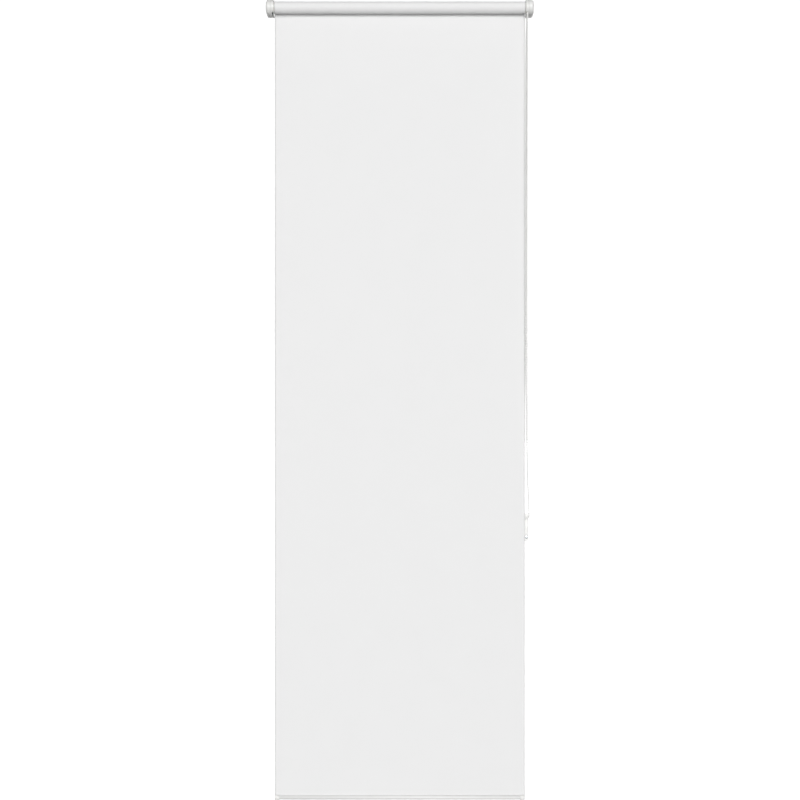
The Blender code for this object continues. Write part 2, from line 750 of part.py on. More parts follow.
def make_drive_plug():
    plug = plug_blank(1)
    end = PLUG_IN_X - PLUG_LENGTH
    drum = prism([circle((AXIS_Y, 0), DRUM_RADIUS, SMALL_ROUND)], end, HALF, "X")
    socket = prism([square_about_axis(DRIVE_SQUARE + 2 * GAP)], DRIVE_FACE_X, HALF, "X")
    change(plug, "DIFFERENCE", drum)
    change(plug, "DIFFERENCE", socket)
    name_piece(plug, "drive_plug", WHITE_NYLON)


def make_brake_springs():
    """Two coils wrapped on the still spindle, turned by the plug that surrounds them."""
    radius = SPINDLE + GAP + SPRING_WIRE
    start = PLUG_IN_X + GAP + SPRING_WIRE
    room = DRIVE_FACE_X - GAP - SPRING_WIRE - start
    for i, name in enumerate(("inner_brake_spring", "outer_brake_spring")):
        low = start + i * room / 2
        high = low + room / 2 - 2 * SPRING_WIRE - GAP
        coil = wire(helix(radius, low, high, SPRING_TURNS), SPRING_WIRE, 1)
        name_piece(coil, name, SPRING_STEEL)


def make_idle_plug():
    plug = plug_blank(-1)
    bore = PIN_RADIUS + GAP
    hole = prism([circle((AXIS_Y, 0), bore, SMALL_ROUND)], -HALF, -PLUG_IN_X + PLUG_LENGTH, "X")
    chamber = prism(
        [circle((AXIS_Y, 0), CHAMBER_RADIUS, SMALL_ROUND)],
        -(PLUG_OUT_X - CHAMBER_WALL),
        -(PLUG_IN_X + CHAMBER_WALL),
        "X",
    )
    change(plug, "DIFFERENCE", hole)
    change(plug, "DIFFERENCE", chamber)
    name_piece(plug, "idle_plug", WHITE_NYLON)


def make_idle_pin():
    """A sprung pin whose collar rests on the outer wall of the plug's chamber."""
    tip = PLATE_OUT_X + PIN_REACH
    collar_out = PLUG_OUT_X - CHAMBER_WALL - GAP
    collar_in = collar_out - PIN_COLLAR_LENGTH
    tail = collar_in - PIN_TAIL
    profile = [
        (0, tip),
        (PIN_RADIUS / 2, tip),
        (PIN_RADIUS, tip - PIN_RADIUS / 2),
        (PIN_RADIUS, collar_out),
        (PIN_COLLAR, collar_out),
        (PIN_COLLAR, collar_in),
        (PIN_RADIUS, collar_in),
        (PIN_RADIUS, tail),
        (0, tail),
    ]
    name_piece(on_axis(on_side(-1, profile), SMALL_ROUND), "idle_pin", ZINC_STEEL)
    low = PLUG_IN_X + CHAMBER_WALL + GAP + PIN_SPRING_WIRE
    high = collar_in - GAP - PIN_SPRING_WIRE
    coil = wire(helix(PIN_SPRING_RADIUS, -low, -high, PIN_SPRING_TURNS), PIN_SPRING_WIRE, 1)
    name_piece(coil, "idle_pin_spring", SPRING_STEEL)


def make_roller_tube():
    tube = on_axis(ring(TUBE_RADIUS - TUBE_WALL, TUBE_RADIUS, -TUBE_HALF, TUBE_HALF))
    name_piece(tube, "roller_tube", ALUMINIUM)


# ---------------------------------------------------------------- cloth and bottom bar
def make_fabric():
    roll = on_axis(ring(WRAP_INNER, ROLL_RADIUS, -FABRIC_HALF, FABRIC_HALF))
    name_piece(roll, "fabric_roll", CLOTH)
    sheet = rectangle((-FABRIC_HALF, FABRIC_END_Z), (FABRIC_HALF, 0))
    panel = prism([sheet], FABRIC_Y - FABRIC / 2, FABRIC_Y + FABRIC / 2, "Y")
    name_piece(panel, "fabric_panel", CLOTH)


def slot_cutter(low, high):
    """Opens the top of the bar, or of its cap, for the cloth."""
    half = BAR_SLOT / 2
    mouth = rectangle((FABRIC_Y - half, BAR_Z), (FABRIC_Y + half, BAR_Z + 2 * BAR_HALF_HEIGHT))
    return prism([mouth], low, high, "X")


def make_bottom_bar():
    centre = (FABRIC_Y, BAR_Z)
    skin = stadium(centre, BAR_HALF_DEPTH, BAR_HALF_HEIGHT)
    inside = stadium(centre, BAR_HALF_DEPTH - BAR_WALL, BAR_HALF_HEIGHT - BAR_WALL)
    bar = prism([skin, inside], -BAR_HALF, BAR_HALF, "X")
    change(bar, "DIFFERENCE", slot_cutter(-HALF, HALF))
    name_piece(bar, "bottom_bar", WHITE_PAINT)
    rod = turned(
        [(0, BAR_HALF), (HEM_ROD, BAR_HALF), (HEM_ROD, -BAR_HALF), (0, -BAR_HALF)],
        "X",
        (0, FABRIC_Y, BAR_Z),
        SMALL_ROUND // 2,
    )
    name_piece(rod, "hem_rod", CHAIN_PLASTIC)


def make_bar_cap(side, name):
    """A sleeve closed at its outer end, slotted for the edge of the cloth."""
    centre = (FABRIC_Y, BAR_Z)
    near, far = FABRIC_HALF - BAR_CAP_LENGTH, FABRIC_HALF
    cap = prism(
        [stadium(centre, BAR_CAP_HALF_DEPTH, BAR_CAP_HALF_HEIGHT)], *sorted_ends(side, near, far), "X"
    )
    hollow = stadium(centre, BAR_HALF_DEPTH + GAP, BAR_HALF_HEIGHT + GAP)
    change(
        cap,
        "DIFFERENCE",
        prism([hollow], *sorted_ends(side, near - BAR_CAP_LENGTH, far - BAR_CAP_END), "X"),
    )
    change(cap, "DIFFERENCE", slot_cutter(*sorted_ends(side, near - BAR_CAP_LENGTH, HALF)))
    name_piece(cap, name, WHITE_ABS)


# ---------------------------------------------------------------- hold-down on the wall
def make_chain_hold_down():
    """A plate on the wall whose saddle stands inside the chain's loop and keeps it tight."""
    centre = (CLIP_X, CLIP_Z)
    low, high = CLIP_Z - CLIP_BOTTOM, CLIP_Z + CLIP_TOP
    middle = (CLIP_X, (low + high) / 2)
    plate = prism(
        [stadium(middle, CLIP_HALF_WIDTH, (high - low) / 2)], -CLIP_PLATE, 0, "Y"
    )
    round_rim(plate, CLIP_PLATE / 2, CLIP_PLATE / 4, 2)
    saddle = arc(centre, CLIP_SADDLE, 180, 360, 10)
    saddle += [(CLIP_X + CLIP_SADDLE, high - GAP), (CLIP_X - CLIP_SADDLE, high - GAP)]
    change(plate, "UNION", prism([saddle], CLIP_LIP_Y - CLIP_LIP / 2, -CLIP_PLATE / 2, "Y"))
    lip_radius = CLIP_SADDLE + BEAD / 4
    lip = arc(centre, lip_radius, 180, 360, 10)
    lip += [(CLIP_X + lip_radius, high), (CLIP_X - lip_radius, high)]
    change(plate, "UNION", prism([lip], CLIP_LIP_Y - CLIP_LIP, CLIP_LIP_Y, "Y"))
    well_radius = SCREW_HEAD + 2 * GAP
    screw = (CLIP_X, CLIP_Z - CLIP_SCREW_DROP)
    rib_top = CLIP_Z - CLIP_SADDLE - 4 * BEAD
    rib_bottom = screw[1] + well_radius + CLIP_RIB
    rib = rectangle(
        (CLIP_X - CLIP_RIB_HALF_WIDTH, rib_bottom), (CLIP_X + CLIP_RIB_HALF_WIDTH, rib_top)
    )
    change(plate, "UNION", prism([rib], -CLIP_PLATE - CLIP_RIB, -CLIP_PLATE / 2, "Y"))
    well = circle(screw, well_radius, SMALL_ROUND)
    change(plate, "DIFFERENCE", prism([well], -2 * CLIP_PLATE, -CLIP_PLATE + CLIP_WELL, "Y"))
    hole = circle(screw, SCREW_SHANK + GAP, SMALL_ROUND)
    change(plate, "DIFFERENCE", prism([hole], -2 * CLIP_PLATE, CLIP_PLATE, "Y"))
    name_piece(plate, "chain_hold_down", WHITE_ABS)
    seat = -CLIP_PLATE + CLIP_WELL - GAP
    place = (screw[0], 0, screw[1])
    fixing = make_screw("Y", place, seat, 1, SCREW_SHANK, SCREW_HEAD_HEIGHT, SCREW_LENGTH)
    name_piece(fixing, "hold_down_screw", ZINC_STEEL)


# ---------------------------------------------------------------- assembly
def smooth_round_pieces():
    for obj in PARTS.objects:
        if obj.type == "MESH":
            smooth(obj)


def main():
    make_left_bracket()
    make_right_bracket()
    make_housing(-1, "left_housing")
    make_housing(1, "chain_housing")
    make_end_cover(-1, "left_end_cover")
    make_end_cover(1, "right_end_cover")
    make_bracket_screws()
    make_clutch_core()
    make_core_fixings()
    make_idle_hub()
    make_roller_tube()
    make_drive_plug()
    make_brake_springs()
    make_chain_wheel()
    make_idle_plug()
    make_idle_pin()
    make_fabric()
    make_bottom_bar()
    make_bar_cap(-1, "left_bar_cap")
    make_bar_cap(1, "right_bar_cap")
    make_chain_hold_down()
    make_chain_over_wheel()
    make_bead_chain_loop()
    smooth_round_pieces()


main()
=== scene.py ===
"""Looks of a white roller blind with an endless bead chain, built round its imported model.

Metres, +Z up. X runs along the blind, the room is at -Y and the wall is the plane Y = 0.
"""

import logging
import math
from dataclasses import dataclass, field
from enum import Enum

import bmesh
import bpy
import numpy as np
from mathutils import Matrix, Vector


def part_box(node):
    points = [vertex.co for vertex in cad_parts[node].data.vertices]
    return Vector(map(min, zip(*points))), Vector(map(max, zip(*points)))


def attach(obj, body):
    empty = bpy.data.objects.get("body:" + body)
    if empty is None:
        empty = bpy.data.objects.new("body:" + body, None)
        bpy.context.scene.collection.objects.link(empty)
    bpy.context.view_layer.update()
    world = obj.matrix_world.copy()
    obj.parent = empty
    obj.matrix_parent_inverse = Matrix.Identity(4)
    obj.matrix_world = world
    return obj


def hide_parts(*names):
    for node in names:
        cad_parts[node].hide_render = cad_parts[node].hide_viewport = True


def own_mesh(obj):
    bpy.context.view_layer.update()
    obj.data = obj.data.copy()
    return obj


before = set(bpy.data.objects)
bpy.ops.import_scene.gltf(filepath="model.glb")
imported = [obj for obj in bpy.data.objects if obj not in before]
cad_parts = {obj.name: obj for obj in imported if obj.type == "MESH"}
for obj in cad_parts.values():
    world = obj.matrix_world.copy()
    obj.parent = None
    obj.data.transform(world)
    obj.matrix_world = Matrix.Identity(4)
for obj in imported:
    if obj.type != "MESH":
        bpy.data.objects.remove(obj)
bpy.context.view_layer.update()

MM = 0.001
LOG = logging.getLogger("roller_blind")
BAND_REPEAT = 2 * math.pi / 20  # metres between the bands of a wave texture at scale 1
DIE_LINES = 0.004  # grain's scale along an extrusion, which draws it out into lines
CURVE_POINTS = 60  # between two points of a route, before it is spaced evenly
WELD = 0.002 * MM  # points this near to each other in a node are one
FLAT = math.radians(0.6)  # faces that turn less than this are parts of one flat face
SHARP = math.radians(35)  # an edge that turns more than this is rounded
ROOT = "root"
ROLLER = "roller"
PIN_BODY = "idle_pin"
BAR_BODY = "bar"
AXIS_Y = -28 * MM  # the roller's axis, from the wall
CLOTH_HALF_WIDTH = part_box("fabric_panel")[1][0]

# The chain's route outside the housing, as the model has it.
CHAIN_ROUTE = np.array(
    [
        (0.2859, -0.0366, -0.0080),
        (0.2859, -0.0366, -0.0300),
        (0.2857, -0.0364, -0.0900),
        (0.2853, -0.0355, -0.2200),
        (0.2850, -0.0341, -0.3800),
        (0.2848, -0.0322, -0.5400),
        (0.2848, -0.0298, -0.6900),
        (0.2850, -0.0266, -0.8200),
        (0.2855, -0.0230, -0.9200),
        (0.2866, -0.0185, -1.0000),
        (0.2883, -0.0136, -1.0600),
        (0.2905, -0.0088, -1.1050),
        (0.2916, -0.0063, -1.1300),
        (0.29185, -0.00555, -1.1437),
        (0.29105, -0.00555, -1.14675),
        (0.2890, -0.00555, -1.1488),
        (0.2859, -0.00555, -1.14965),
        (0.2828, -0.00555, -1.1488),
        (0.28075, -0.00555, -1.14675),
        (0.27995, -0.00555, -1.1437),
        (0.2800, -0.0056, -1.1250),
        (0.2801, -0.0058, -1.0800),
        (0.2804, -0.0060, -1.0000),
        (0.2812, -0.0062, -0.9000),
        (0.2830, -0.0066, -0.7900),
        (0.2842, -0.0082, -0.6600),
        (0.2843, -0.0112, -0.5000),
        (0.2843, -0.0143, -0.3400),
        (0.2843, -0.0173, -0.1900),
        (0.2846, -0.0188, -0.0900),
        (0.2859, -0.0194, -0.0300),
        (0.2859, -0.0194, -0.0080),
    ]
)


# ---------------------------------------------------------------- finishes
class Pattern(Enum):
    """How a surface was made, which decides its fine relief."""

    MOULDED = "the even grain of a spark-eroded mould"
    COATED = "the soft orange peel of a powder coat"
    EXTRUDED = "lines along the piece, from the die"
    PLATED = "crystals and faint scratches in plating"
    WOVEN = "a plain weave under a thin coating"


def srgb(code: str) -> tuple[float, float, float, float]:
    """Linear colour of an sRGB hex value.

    Args:
        code: Six hex digits, such as "F2F2F0".

    Returns:
        Red, green, blue and alpha, linear.
    """
    parts = np.array([int(code[i : i + 2], 16) for i in (0, 2, 4)]) / 255
    linear = np.where(parts <= 0.04045, parts / 12.92, ((parts + 0.055) / 1.055) ** 2.4)
    return (*map(float, linear), 1.0)


def add_node(
    tree: bpy.types.NodeTree,
    kind: str,
    values: dict | None = None,
    links: dict | None = None,
    **settings: object,
) -> bpy.types.Node:
    """Adds one shader node with its settings, its sockets' values and what feeds it.

    Args:
        tree: The material's or the world's node tree.
        kind: The node's type name after "ShaderNode".
        values: Socket name or number to value.
        links: Socket name or number to the output socket that feeds it.
        **settings: The node's own properties.

    Returns:
        The new node.
    """
    node = tree.nodes.new("ShaderNode" + kind)
    for name, value in settings.items():
        setattr(node, name, value)
    for socket, value in (values or {}).items():
        node.inputs[socket].default_value = value
    for socket, source in (links or {}).items():
        tree.links.new(source, node.inputs[socket])
    return node


@dataclass(frozen=True)
class Finish:
    """A real material's colours, gloss and relief, with its sizes in millimetres, and painted shade
    along its edges where it has an edge shade colour.
    """

    name: str
    slot: str
    colour: str
    tone: str
    pattern: Pattern
    grain_mm: float
    relief_mm: float
    roughness: float
    roughness_spread: float = 0.06
    metallic: float = 0.0
    ior: float = 1.5
    coat: float = 0.0
    sheen: float = 0.0
    tone_mm: float = 40.0
    subsurface: float = 0.0
    # painted shade along a piece's edges: its colour, which is full past edge_x from the middle
    edge_shade_colour: str = ""
    edge_x: float = 0.0

    def height(
        self, tree: bpy.types.NodeTree, place: bpy.types.NodeSocket
    ) -> bpy.types.NodeSocket:
        """The relief's height, from 0 to 1.

        Args:
            tree: The material's node tree.
            place: Where on the piece, in metres.

        Returns:
            The socket that gives the height.
        """
        per_metre = 1 / (self.grain_mm * MM)
        if self.pattern is Pattern.WOVEN:
            # Warp and weft each rise where the other dips, so the height is the greater of two
            # bands, one along each thread.
            scale = BAND_REPEAT * per_metre
            warp, weft = (
                add_node(
                    tree,
                    "TexWave",
                    {"Scale": scale, "Distortion": 0.25, "Detail": 1.0, "Detail Scale": 0.5},
                    {"Vector": place},
                    bands_direction=direction,
                ).outputs["Fac"]
                for direction in ("X", "Y")
            )
            return add_node(
                tree, "Math", links={0: warp, 1: weft}, operation="MAXIMUM"
            ).outputs[0]
        along = DIE_LINES if self.pattern is Pattern.EXTRUDED else 1.0
        stretch = (along, 1.0, 1.0)
        spot = add_node(tree, "Mapping", {"Scale": stretch}, {"Vector": place}).outputs[0]
        detail = 4.0 if self.pattern is Pattern.PLATED else 1.5
        grain = add_node(
            tree,
            "TexNoise",
            {"Scale": per_metre, "Detail": detail, "Roughness": 0.5},
            {"Vector": spot},
        ).outputs["Fac"]
        if self.pattern is not Pattern.PLATED:
            return grain
        crystals = add_node(
            tree, "TexVoronoi", {"Scale": per_metre / 3}, {"Vector": place}
        ).outputs["Distance"]
        return add_node(tree, "Math", links={0: grain, 1: crystals}, operation="ADD").outputs[0]

    def colour_of(
        self, tree: bpy.types.NodeTree, place: bpy.types.NodeSocket
    ) -> bpy.types.NodeSocket:
        """The colour, drifting slowly between the two tones, with painted shade darkening it past a
        line near each edge.

        Args:
            tree: The material's node tree.
            place: Where on the piece, in metres.

        Returns:
            The socket that gives the colour.
        """
        drift = add_node(
            tree,
            "TexNoise",
            {"Scale": 1 / (self.tone_mm * MM), "Detail": 3.0, "Roughness": 0.55},
            {"Vector": place},
        ).outputs["Fac"]
        mixed = add_node(
            tree,
            "Mix",
            {6: srgb(self.colour), 7: srgb(self.tone)},
            {0: drift},
            data_type="RGBA",
        ).outputs[2]
        if not self.edge_shade_colour:
            return mixed
        # Painted shade along the cut edges: the colour darkens over the last millimetre before the
        # edge line.
        across = add_node(tree, "SeparateXYZ", links={0: place}).outputs[0]
        away = add_node(tree, "Math", links={0: across}, operation="ABSOLUTE").outputs[0]
        edge = add_node(
            tree,
            "MapRange",
            {"From Min": self.edge_x - MM, "From Max": self.edge_x},
            {"Value": away},
            interpolation_type="SMOOTHSTEP",
        ).outputs[0]
        return add_node(
            tree, "Mix", {7: srgb(self.edge_shade_colour)}, {0: edge, 6: mixed}, data_type="RGBA"
        ).outputs[2]

    def material(self) -> bpy.types.Material:
        """The material, made once.

        Returns:
            A node-based material of this finish's name.
        """
        made = bpy.data.materials.get(self.name)
        if made:
            return made
        made = bpy.data.materials.new(self.name)
        made.use_nodes = True
        tree = made.node_tree
        shader = tree.nodes["Principled BSDF"]
        where = add_node(tree, "TexCoord")
        place = where.outputs["UV" if self.pattern is Pattern.WOVEN else "Object"]
        settings = {
            "Metallic": self.metallic,
            "IOR": self.ior,
            "Coat Weight": self.coat,
            "Coat Roughness": 0.15,
            "Sheen Weight": self.sheen,
            "Sheen Roughness": 0.6,
            "Subsurface Weight": self.subsurface,
            "Subsurface Scale": 0.5 * MM,
        }
        for socket, value in settings.items():
            shader.inputs[socket].default_value = value
        tree.links.new(self.colour_of(tree, place), shader.inputs["Base Color"])
        height = self.height(tree, place)
        gloss = add_node(
            tree,
            "MapRange",
            {
                "To Min": self.roughness - self.roughness_spread / 2,
                "To Max": self.roughness + self.roughness_spread / 2,
            },
            {"Value": height},
        ).outputs[0]
        tree.links.new(gloss, shader.inputs["Roughness"])
        bump = add_node(
            tree, "Bump", {"Strength": 1.0, "Distance": self.relief_mm * MM}, {"Height": height}
        ).outputs[0]
        tree.links.new(bump, shader.inputs["Normal"])
        return made


# Satin ABS, injection moulded: even, faintly warm white with a fine sparked grain and soft gloss.
WHITE_ABS = Finish(
    "white_abs_moulded", "cover_plastic", "E7E7E5", "E4E4E2", Pattern.MOULDED, 0.5, 0.006, 0.40
)
# Unfilled nylon, moulded: creamier and waxier than ABS, as its surface scatters light below.
NATURAL_NYLON = Finish(
    "natural_nylon_moulded",
    "nylon",
    "ECE9DF",
    "E4E0D4",
    Pattern.MOULDED,
    0.7,
    0.005,
    0.48,
    subsurface=0.15,
)
# Powder coat on folded steel: a thick film with a slow orange peel and even gloss.
COATED_STEEL = Finish(
    "powder_coated_steel", "bracket_steel", "F1F1F0", "ECECEA", Pattern.COATED, 1.4, 0.02, 0.34
)
# Powder coat on the bar's extrusion: smoother than on steel, with die lines just showing through.
COATED_EXTRUSION = Finish(
    "powder_coated_aluminium",
    "bar_aluminium",
    "E0E0DF",
    "DDDDDC",
    Pattern.EXTRUDED,
    0.9,
    0.008,
    0.36,
)
# Bright zinc plating on a cold-formed screw: bluish grey metal, slightly crystalline and scuffed.
BRIGHT_ZINC = Finish(
    "bright_zinc_plated_steel",
    "zinc_steel",
    "C4C7C9",
    "AEB2B5",
    Pattern.PLATED,
    0.25,
    0.004,
    0.30,
    0.16,
    metallic=1.0,
    tone_mm=3.0,
)
# Oiled spring wire: drawn, dark and smooth.
SPRING_WIRE = Finish(
    "oiled_spring_wire",
    "spring_steel",
    "75777A",
    "66686B",
    Pattern.PLATED,
    0.2,
    0.002,
    0.28,
    0.10,
    metallic=1.0,
    tone_mm=2.0,
)
# Mill-finish aluminium tube: pale metal with long streaks from the extrusion die.
MILL_ALUMINIUM = Finish(
    "mill_finish_aluminium",
    "tube_aluminium",
    "D3D5D7",
    "C3C6C8",
    Pattern.EXTRUDED,
    0.6,
    0.01,
    0.36,
    0.14,
    metallic=1.0,
)
# Coated polyester blind cloth: a matt, even white whose weave shows only close to. The real threads
# lie 0.35 mm apart; they are drawn at 0.9 mm so that they show. Painted shade darkens the cloth a
# little along its cut edges.
BLIND_CLOTH = Finish(
    "plain_weave_blind_cloth",
    "cloth",
    "E9E9E9",
    "E7E7E7",
    Pattern.WOVEN,
    0.9,
    0.03,
    0.82,
    0.08,
    sheen=0.12,
    tone_mm=90.0,
    # painted shade along the cloth's two cut edges
    edge_shade_colour="DEDEDE",
    edge_x=CLOTH_HALF_WIDTH - 0.4 * MM,
)
# Acetal balls moulded on a polyester cord: bright white with a wet gloss.
ACETAL = Finish(
    "white_acetal_moulded",
    "chain_plastic",
    "EAEAE8",
    "E6E6E4",
    Pattern.MOULDED,
    0.6,
    0.002,
    0.26,
    coat=0.15,
    ior=1.48,
)


# ---------------------------------------------------------------- surfaces
def quads_of(rows: int, columns: int, wrap: bool, offset: int = 0) -> np.ndarray:
    """The faces of a grid of points.

    Args:
        rows: Points along the first parameter.
        columns: Points along the second.
        wrap: Whether the second parameter closes on itself.
        offset: Number of the grid's first point.

    Returns:
        Four point numbers a face.
    """
    i, j = np.meshgrid(
        np.arange(rows - 1), np.arange(columns if wrap else columns - 1), indexing="ij"
    )
    corners = [(i, j), (i + 1, j), (i + 1, j + 1), (i, j + 1)]
    return offset + np.stack([a * columns + b % columns for a, b in corners], -1).reshape(-1, 4)


def new_piece(
    name: str, points: np.ndarray, faces: np.ndarray, uv: np.ndarray | None = None
) -> bpy.types.Object:
    """A smooth-shaded mesh object at the origin; without a uv layout its doubles are merged and its
    faces turned outwards.

    Args:
        name: The piece's name.
        points: Three numbers a point.
        faces: Four point numbers a face.
        uv: Two numbers a point, in metres along the surface.

    Returns:
        The new object, in the scene.
    """
    mesh = bpy.data.meshes.new(name)
    mesh.from_pydata(points.reshape(-1, 3).tolist(), [], faces.tolist())
    if uv is not None:
        layer = mesh.uv_layers.new(name="cloth_metres")
        layer.data.foreach_set("uv", uv.reshape(-1, 2)[faces.ravel()].astype(np.float32).ravel())
    shape = bmesh.new()
    shape.from_mesh(mesh)
    if uv is None:
        bmesh.ops.remove_doubles(shape, verts=shape.verts, dist=1e-7)
        bmesh.ops.dissolve_degenerate(shape, edges=shape.edges, dist=1e-8)
        bmesh.ops.recalc_face_normals(shape, faces=shape.faces)
    shape.to_mesh(mesh)
    shape.free()
    mesh.shade_smooth()
    obj = bpy.data.objects.new(name, mesh)
    bpy.context.scene.collection.objects.link(obj)
    return obj


def smooth_curve(points: np.ndarray, step: float) -> np.ndarray:
    """A curve through the points: between two of them, the cubic whose slope at each point is
    half the step from its neighbour before to its neighbour after.

    Args:
        points: The route.
        step: Distance between the curve's points.

    Returns:
        Points on the curve, evenly spaced along it.
    """
    padded = np.vstack([points[:1], points, points[-1:]])
    t = np.linspace(0, 1, CURVE_POINTS, endpoint=False)[None, :, None]
    p, q, r, s = (padded[k : len(padded) - 3 + k][:, None, :] for k in range(4))
    curve = 0.5 * (
        2 * q + (r - p) * t + (2 * p - 5 * q + 4 * r - s) * t**2 + (3 * q - p - 3 * r + s) * t**3
    )
    curve = np.vstack([curve.reshape(-1, 3), points[-1:]])
    along = lengths(curve)
    wanted = np.linspace(0, along[-1], max(2, round(along[-1] / step)))
    return at_length(curve, wanted)


def lengths(path: np.ndarray) -> np.ndarray:
    """Distance along a path at each of its points."""
    return np.concatenate([[0], np.cumsum(np.linalg.norm(np.diff(path, axis=0), axis=1))])


def at_length(path: np.ndarray, wanted: np.ndarray) -> np.ndarray:
    """Points of a path at these distances along it."""
    along = lengths(path)
    return np.stack([np.interp(wanted, along, path[:, k]) for k in range(3)], axis=1)


def tube(
    name: str, path: np.ndarray, radii: np.ndarray, reference: np.ndarray, sides: int
) -> bpy.types.Object:
    """A closed tube: each point is the path's point plus a radius turned about its direction.

    Args:
        name: The piece's name.
        path: The centreline.
        radii: The radius at each point of it.
        reference: A direction, one or one a point, that the path never runs along.
        sides: Points round the tube.

    Returns:
        The tube, with both ends drawn in to a point.
    """
    forward = np.gradient(path, axis=0)
    forward /= np.linalg.norm(forward, axis=1, keepdims=True)
    across = np.cross(forward, np.broadcast_to(reference, path.shape))
    across /= np.linalg.norm(across, axis=1, keepdims=True)
    up = np.cross(forward, across)
    angle = np.linspace(0, 2 * np.pi, sides, endpoint=False)[None, :, None]
    ring = np.cos(angle) * across[:, None] + np.sin(angle) * up[:, None]
    points = path[:, None] + radii[:, None, None] * ring
    ends = [np.repeat(p[None, None], sides, axis=1) for p in (path[0], path[-1])]
    points = np.concatenate([ends[0], points, ends[1]])
    return new_piece(name, points, quads_of(len(points), sides, wrap=True))


def finish_piece(
    obj: bpy.types.Object, finish: Finish, body: str, *nodes: str
) -> bpy.types.Object:
    """Dresses a piece, puts it on its body and has it stand for its nodes.

    Args:
        obj: The piece.
        finish: Its finish.
        body: The body that it moves with.
        *nodes: The model's nodes that it stands for.

    Returns:
        The same piece.
    """
    obj.data.materials.clear()
    obj.data.materials.append(finish.material())
    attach(obj, body)
    if nodes:
        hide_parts(*nodes)
    LOG.info("%s: %d faces, %s", obj.name, len(obj.data.polygons), finish.name)
    return obj


def refined(
    node: str, finish: Finish, body: str, edge_mm: float, segments: int = 3
) -> bpy.types.Object:
    """A node's own shape with its flat faces made whole, its edges rounded and its curves smooth.

    Args:
        node: The model's node.
        finish: The piece's finish.
        body: The body that it moves with.
        edge_mm: Width of the rounding along its sharp edges.
        segments: Faces across the rounding.

    Returns:
        The new piece, which stands for the node.
    """
    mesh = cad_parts[node].data.copy()
    mesh.name = node + "_fine"
    shape = bmesh.new()
    shape.from_mesh(mesh)
    bmesh.ops.remove_doubles(shape, verts=shape.verts, dist=WELD)
    bmesh.ops.dissolve_degenerate(shape, edges=shape.edges, dist=WELD)
    bmesh.ops.dissolve_limit(
        shape,
        angle_limit=FLAT,
        verts=shape.verts,
        edges=shape.edges,
        use_dissolve_boundaries=False,
    )
    shape.to_mesh(mesh)
    shape.free()
    mesh.shade_smooth()
    obj = bpy.data.objects.new(node + "_fine", mesh)
    bpy.context.scene.collection.objects.link(obj)
    bevel = obj.modifiers.new("Rounded edges", "BEVEL")
    bevel.width = edge_mm * MM
    bevel.segments = segments
    bevel.limit_method = "ANGLE"
    bevel.angle_limit = SHARP
    bevel.harden_normals = True
    return finish_piece(obj, finish, body, node)


# ---------------------------------------------------------------- screws and springs
@dataclass
class PanScrew:
    """A cross-recessed pan-head screw, worked out as one surface round its axis."""

    node: str
    into: tuple[float, float, float]
    shank: float
    pitch: float
    taper: float
    head: float = 3.4 * MM
    head_height: float = 2.0 * MM
    dome: float = 0.35 * MM
    rim_share: float = 0.1
    core_share: float = 0.68
    recess: float = 0.8 * MM
    recess_depth: float = 1.1 * MM
    recess_share: float = 0.55
    around: int = 72
    rows_a_turn: int = 9

    def build(self) -> bpy.types.Object:
        """The screw: its radius follows the head's outline and then a sharp-crested helix.

        Along the thread the radius is the core's plus the crest's height times the third power
        of a wave that runs once round for each pitch. The cross is sunk into the crown where a
        point lies near either arm's centreline.

        Returns:
            The piece, dressed and riding on the root body.
        """
        low, high = (np.array(p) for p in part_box(self.node))
        axis = np.array(self.into)
        k = int(np.argmax(np.abs(axis)))
        centre = (low + high) / 2
        top, tip = (low[k], high[k]) if axis[k] > 0 else (high[k], low[k])
        total = abs(tip - top)
        rim = self.head * self.rim_share
        r_head = np.linspace(0, self.head - rim, 22)
        h_head = self.dome * (r_head / self.head) ** 2
        bend = np.linspace(0, np.pi / 2, 6)[1:]
        r_rim = self.head - rim + rim * np.sin(bend)
        h_rim = h_head[-1] + rim * (1 - np.cos(bend))
        core = self.shank * self.core_share
        h_under = self.head_height * np.ones(2)
        r_under = np.array([self.head, core])
        turns = (total - self.head_height) / self.pitch
        h_thread = np.linspace(self.head_height, total, max(40, int(turns * self.rows_a_turn)))
        r = np.concatenate([r_head, r_rim, r_under])
        h = np.concatenate([h_head, h_rim, h_under])
        angle = np.linspace(0, 2 * np.pi, self.around, endpoint=False)
        phase = h_thread[:, None] / self.pitch * 2 * np.pi - angle[None]
        crest = (0.5 + 0.5 * np.cos(phase)) ** 3
        start = np.clip((h_thread - self.head_height) / self.pitch, 0, 1)[:, None]
        point = np.clip((total - h_thread) / self.taper, 0, 1)[:, None]
        r_thread = (core + (self.shank - core) * crest * start) * point
        radius = np.concatenate([np.repeat(r[:, None], self.around, 1), r_thread])
        depth = np.concatenate([h, h_thread])[:, None] * np.ones((1, self.around))
        u, v = radius * np.cos(angle), radius * np.sin(angle)
        near, far = np.minimum(np.abs(u), np.abs(v)), np.maximum(np.abs(u), np.abs(v))
        arm = np.clip((self.recess / 2 - near) / (0.12 * MM) + 0.5, 0, 1)
        arm = arm * np.clip((self.head * self.recess_share - far) / (0.25 * MM) + 0.5, 0, 1)
        depth = depth + self.recess_depth * arm * (np.arange(len(depth)) < len(r_head))[:, None]
        points = np.empty((*radius.shape, 3))
        points[..., k] = top + np.sign(axis[k]) * depth
        others = [i for i in range(3) if i != k]
        points[..., others[0]] = centre[others[0]] + u
        points[..., others[1]] = centre[others[1]] + v
        piece = new_piece(
            self.node + "_fine", points, quads_of(len(points), self.around, wrap=True)
        )
        piece.data.set_sharp_from_angle(angle=math.radians(50))
        return finish_piece(piece, BRIGHT_ZINC, ROOT, self.node)


